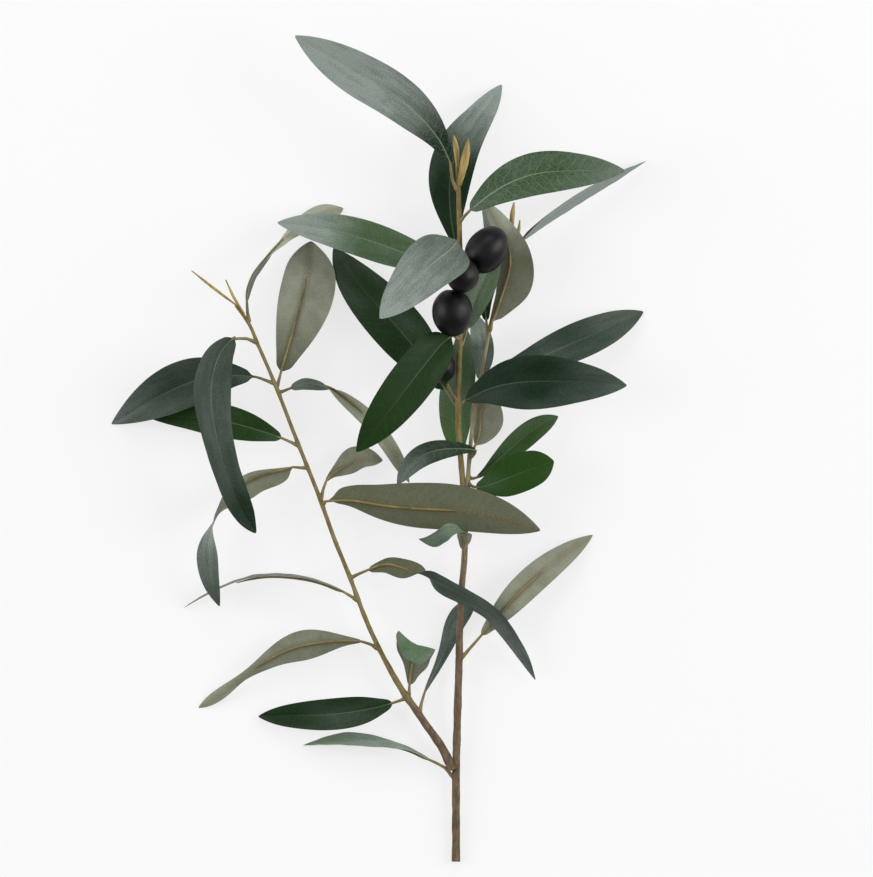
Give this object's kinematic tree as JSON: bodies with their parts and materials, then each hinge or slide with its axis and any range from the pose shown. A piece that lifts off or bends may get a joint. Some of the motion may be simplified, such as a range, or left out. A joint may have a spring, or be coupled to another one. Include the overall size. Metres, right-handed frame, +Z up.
{
  "type": "olive branch with fruit",
  "caption": "Cut olive spray lying flat: a main stem with a side branch and a shoot, long lance-shaped leaves, pointed tip buds and black oval fruit.",
  "frame": {"origin": "centre of the bounding box in plan, on the surface that the spray lies on", "axes": "+Y along the main stem from its cut end to its tip, +X to the right of the stem seen from above, +Z up from the surface"},
  "size_m": [0.269, 0.4132, 0.083],
  "materials": {
    "leaf": "dark green upper side with a grey-green sheen, fine pale veins and midrib; grey-olive underside with a tan moulded rib",
    "bark": "rough brown wrapped stem, paler towards the tips",
    "shoot": "matte tan young growth",
    "olive": "satin black skin"
  },
  "bodies": {
    "root": {"crown_leaf_1": "leaf", "crown_leaf_2": "leaf", "crown_leaf_3": "leaf", "crown_leaf_4": "leaf", "crown_leaf_5": "leaf", "fruit_leaf_1": "leaf", "fruit_leaf_2": "leaf", "fruit_leaf_3": "leaf", "fruit_leaf_4": "leaf", "fruit_leaf_5": "leaf", "fruit_stalk_1": "shoot", "fruit_stalk_2": "shoot", "fruit_stalk_3": "shoot", "fruit_stalk_4": "shoot", "left_branch": "bark", "left_leaf_1": "leaf", "left_leaf_10": "leaf", "left_leaf_11": "leaf", "left_leaf_12": "leaf", "left_leaf_13": "leaf", "left_leaf_2": "leaf", "left_leaf_3": "leaf", "left_leaf_4": "leaf", "left_leaf_5": "leaf", "left_leaf_6": "leaf", "left_leaf_7": "leaf", "left_leaf_8": "leaf", "left_leaf_9": "leaf", "main_stem": "bark", "middle_leaf_1": "leaf", "middle_leaf_2": "leaf", "middle_leaf_3": "leaf", "middle_leaf_4": "leaf", "middle_leaf_5": "leaf", "olive_1": "olive", "olive_2": "olive", "olive_3": "olive", "olive_4": "olive", "right_leaf_1": "leaf", "right_leaf_2": "leaf", "right_leaf_3": "leaf", "right_leaf_4": "leaf", "right_leaf_5": "leaf", "right_leaf_6": "leaf", "right_leaf_7": "leaf", "right_leaf_8": "leaf", "right_leaf_9": "leaf", "right_shoot": "shoot", "tip_bud_1": "shoot", "tip_bud_2": "shoot", "tip_bud_3": "shoot", "tip_bud_4": "shoot", "tip_bud_5": "shoot", "tip_bud_6": "shoot"}
  },
  "joints": []
}
